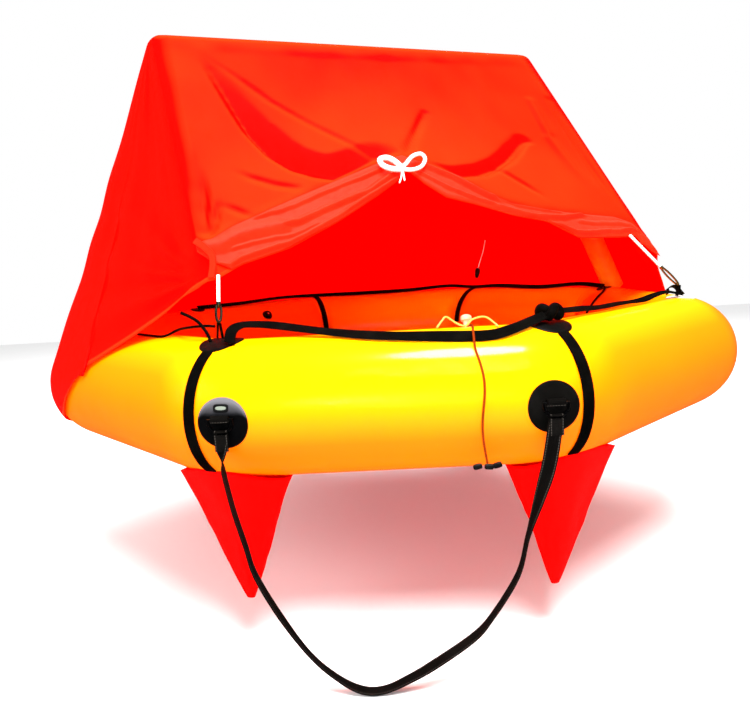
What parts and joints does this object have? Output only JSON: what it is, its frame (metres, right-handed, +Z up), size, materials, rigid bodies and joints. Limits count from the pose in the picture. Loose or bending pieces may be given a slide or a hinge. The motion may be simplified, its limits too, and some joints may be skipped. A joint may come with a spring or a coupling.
{
  "type": "canopied life raft",
  "caption": "Octagonal inflated life raft with tent canopy on an arch, ballast bags, webbing lifelines and a swinging boarding strap.",
  "frame": {"origin": "middle of the octagonal tube on the still water surface, level with the underside of the empty raft", "axes": "+Z up, -Y towards the front side with the boarding strap, +X to the right seen from the front"},
  "size_m": [1.6805, 1.693, 1.3124],
  "materials": {
    "tube_coating": "satin",
    "floor_coating": "satin",
    "canopy_fabric": "satin",
    "bag_fabric": "satin",
    "webbing": "matte",
    "patch_rubber": "satin",
    "cord_white": "matte",
    "cord_red": "matte",
    "ring_steel": "satin",
    "hook_plastic": "matte",
    "bottle_metal": "satin"
  },
  "bodies": {
    "raft": {"buoyancy_tube": "tube_coating", "canopy_arch": "tube_coating", "floor_sheet": "floor_coating", "canopy": "canopy_fabric", "door_roll": "canopy_fabric", "ballast_bag_front_left": "bag_fabric", "ballast_bag_front_right": "bag_fabric", "ballast_bag_rear_left": "bag_fabric", "ballast_bag_rear_right": "bag_fabric", "girth_strap_left": "webbing", "girth_strap_right": "webbing", "inner_post_left": "webbing", "inner_post_right": "webbing", "lifeline_front_left": "webbing", "lifeline_front_right": "webbing", "lifeline_rear": "webbing", "lifeline_knot": "webbing", "top_patch_left": "patch_rubber", "top_patch_right": "patch_rubber", "disc_patch_left": "patch_rubber", "disc_patch_right": "patch_rubber", "rear_line_patch_left": "patch_rubber", "rear_line_patch_right": "patch_rubber", "topping_up_valve": "patch_rubber", "loop_patch_right": "cord_white", "ring_keeper_left": "webbing", "ring_keeper_right": "webbing", "tie_cord_left": "cord_white", "tie_cord_right": "cord_white", "door_tie": "cord_white", "tie_hook_left": "hook_plastic", "tie_hook_right": "hook_plastic", "inflation_bottle": "bottle_metal", "bottle_valve": "hook_plastic", "inflation_handle": "cord_white", "inflation_cord": "cord_red", "cord_toggle": "hook_plastic"},
    "strap_loop": {"boarding_strap": "webbing", "d_ring_left": "ring_steel", "d_ring_right": "ring_steel"}
  },
  "joints": [
    {"name": "strap_swing", "type": "hinge", "parent": "raft", "child": "strap_loop", "pos_m": [0, -0.84267, 0.137], "axis": [-1, 0, 0], "range_deg": [0, 150]}
  ]
}
